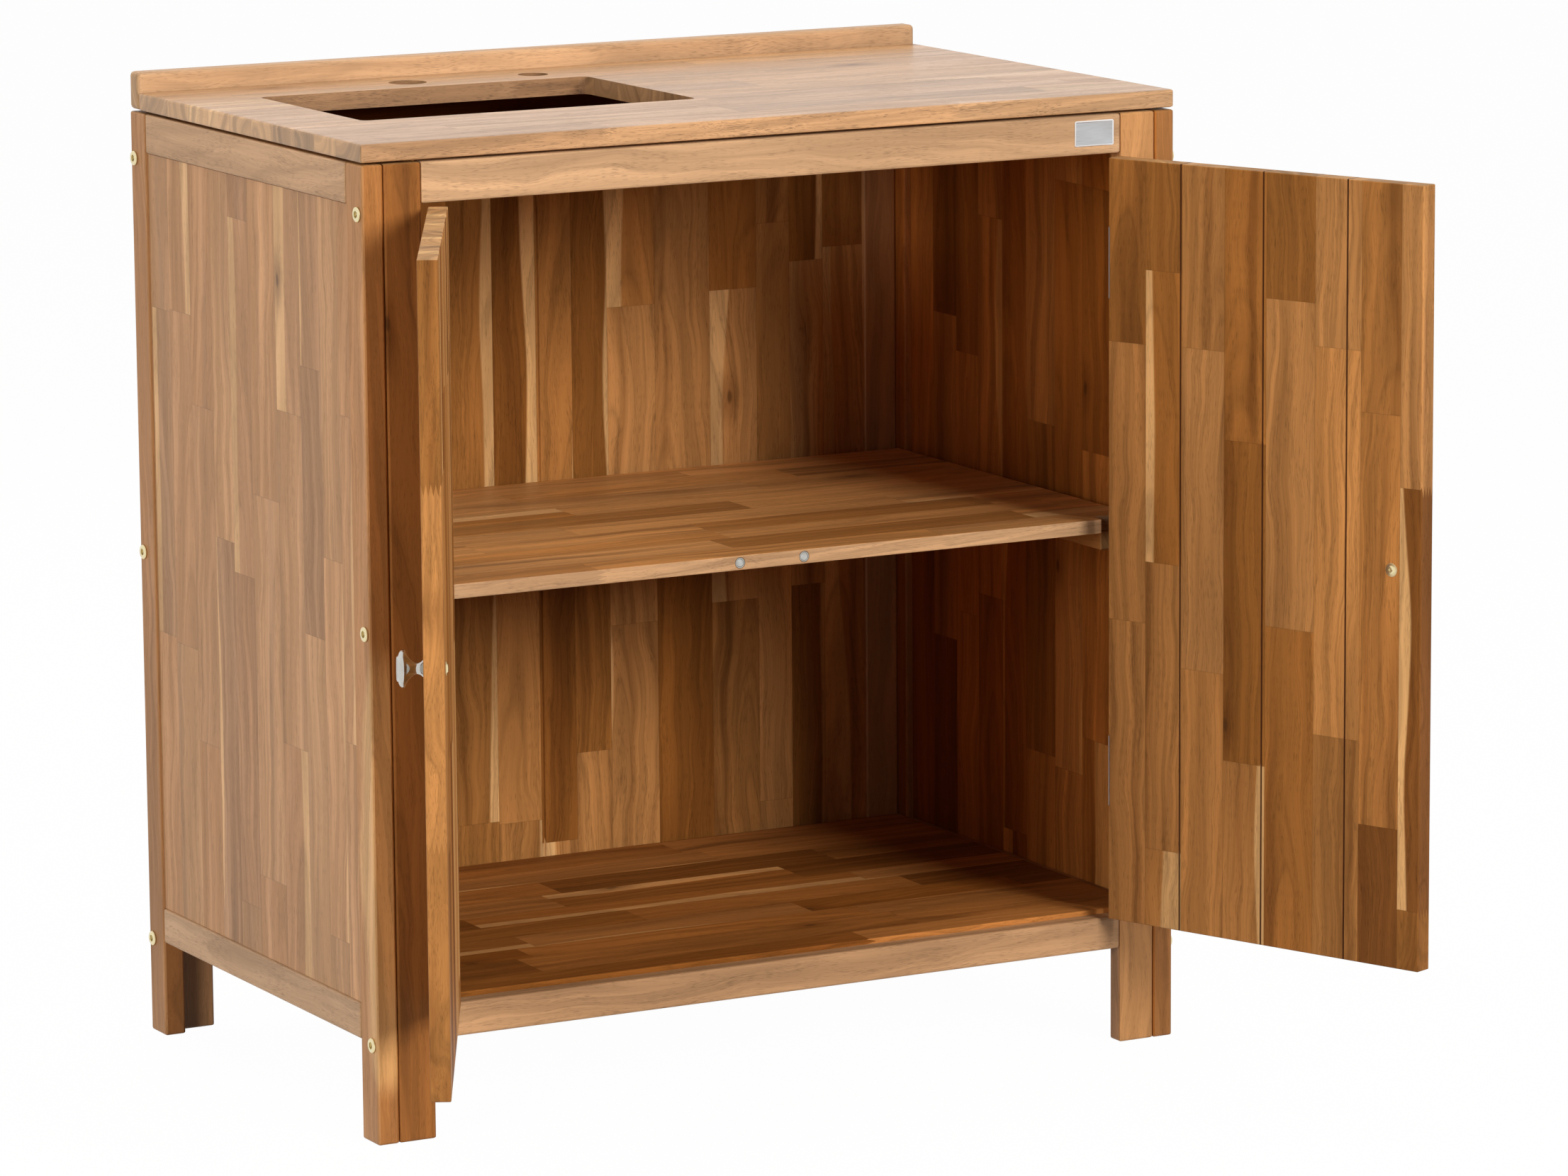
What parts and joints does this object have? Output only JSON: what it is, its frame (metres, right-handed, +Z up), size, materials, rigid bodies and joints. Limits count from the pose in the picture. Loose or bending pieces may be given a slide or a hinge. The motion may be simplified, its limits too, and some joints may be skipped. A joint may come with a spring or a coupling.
{
  "type": "outdoor sink cabinet",
  "caption": "Free-standing acacia cabinet with framed walls, a shelf, inset doors on butt hinges, an upstand and a worktop cut out for a bowl and taps.",
  "frame": {"origin": "bottom centre of the part's box with the doors open at rest", "axes": "+X to the right as seen from the front, +Y to the back, +Z up"},
  "size_m": [0.9862, 0.8214, 0.886],
  "materials": {
    "acacia_frame": "oiled acacia, planed, rounded edges",
    "acacia_panel": "oiled acacia staves, edge-glued",
    "acacia_door": "oiled acacia staves, V-jointed boards",
    "acacia_top": "oiled acacia staves, edge-glued",
    "acacia_inside": "oiled acacia, in shade",
    "chrome": "polished plated metal",
    "brassed_steel": "yellow plated steel",
    "zinced_steel": "zinc plated steel",
    "nickel": "nickel plated magnet"
  },
  "bodies": {
    "carcass": {"back_bottom_rail": "acacia_frame", "back_left_stile": "acacia_frame", "back_panel": "acacia_inside", "back_right_stile": "acacia_frame", "back_top_rail": "acacia_frame", "floor_left_cleat": "acacia_inside", "floor_panel": "acacia_inside", "floor_right_cleat": "acacia_inside", "front_bottom_rail": "acacia_frame", "front_left_stile": "acacia_frame", "front_right_stile": "acacia_frame", "front_top_rail": "acacia_frame", "left_front_lower_bolt": "brassed_steel", "left_front_middle_bolt": "brassed_steel", "left_front_upper_bolt": "brassed_steel", "left_lower_hinge_frame_leaf": "zinced_steel", "left_rear_lower_bolt": "brassed_steel", "left_rear_middle_bolt": "brassed_steel", "left_rear_upper_bolt": "brassed_steel", "left_side_bottom_rail": "acacia_frame", "left_side_front_stile": "acacia_frame", "left_side_panel": "acacia_panel", "left_side_rear_stile": "acacia_frame", "left_side_top_rail": "acacia_frame", "left_upper_hinge_frame_leaf": "zinced_steel", "right_front_lower_bolt": "brassed_steel", "right_front_middle_bolt": "brassed_steel", "right_front_upper_bolt": "brassed_steel", "right_lower_hinge_frame_leaf": "zinced_steel", "right_rear_lower_bolt": "brassed_steel", "right_rear_middle_bolt": "brassed_steel", "right_rear_upper_bolt": "brassed_steel", "right_side_bottom_rail": "acacia_frame", "right_side_front_stile": "acacia_frame", "right_side_panel": "acacia_panel", "right_side_rear_stile": "acacia_frame", "right_side_top_rail": "acacia_frame", "right_upper_hinge_frame_leaf": "zinced_steel", "shelf": "acacia_inside", "shelf_left_cleat": "acacia_inside", "shelf_left_magnet": "nickel", "shelf_right_cleat": "acacia_inside", "shelf_right_magnet": "nickel", "upstand": "acacia_top", "worktop": "acacia_top", "worktop_left_batten": "acacia_inside", "worktop_right_batten": "acacia_inside"},
    "left_door_assembly": {"left_door": "acacia_door", "left_knob": "chrome", "left_knob_screw": "brassed_steel", "left_lower_hinge_door_leaf": "zinced_steel", "left_upper_hinge_door_leaf": "zinced_steel"},
    "right_door_assembly": {"right_door": "acacia_door", "right_knob": "chrome", "right_knob_screw": "brassed_steel", "right_lower_hinge_door_leaf": "zinced_steel", "right_upper_hinge_door_leaf": "zinced_steel"}
  },
  "joints": [
    {"name": "left_door_hinge", "type": "hinge", "parent": "carcass", "child": "left_door_assembly", "pos_m": [-0.32948, -0.08459, 0.466], "axis": [0, 0, 1], "range_deg": [-60, 117.1]},
    {"name": "right_door_hinge", "type": "hinge", "parent": "carcass", "child": "right_door_assembly", "pos_m": [0.35792, -0.08459, 0.466], "axis": [0, 0, -1], "range_deg": [-65, 111.4]}
  ]
}
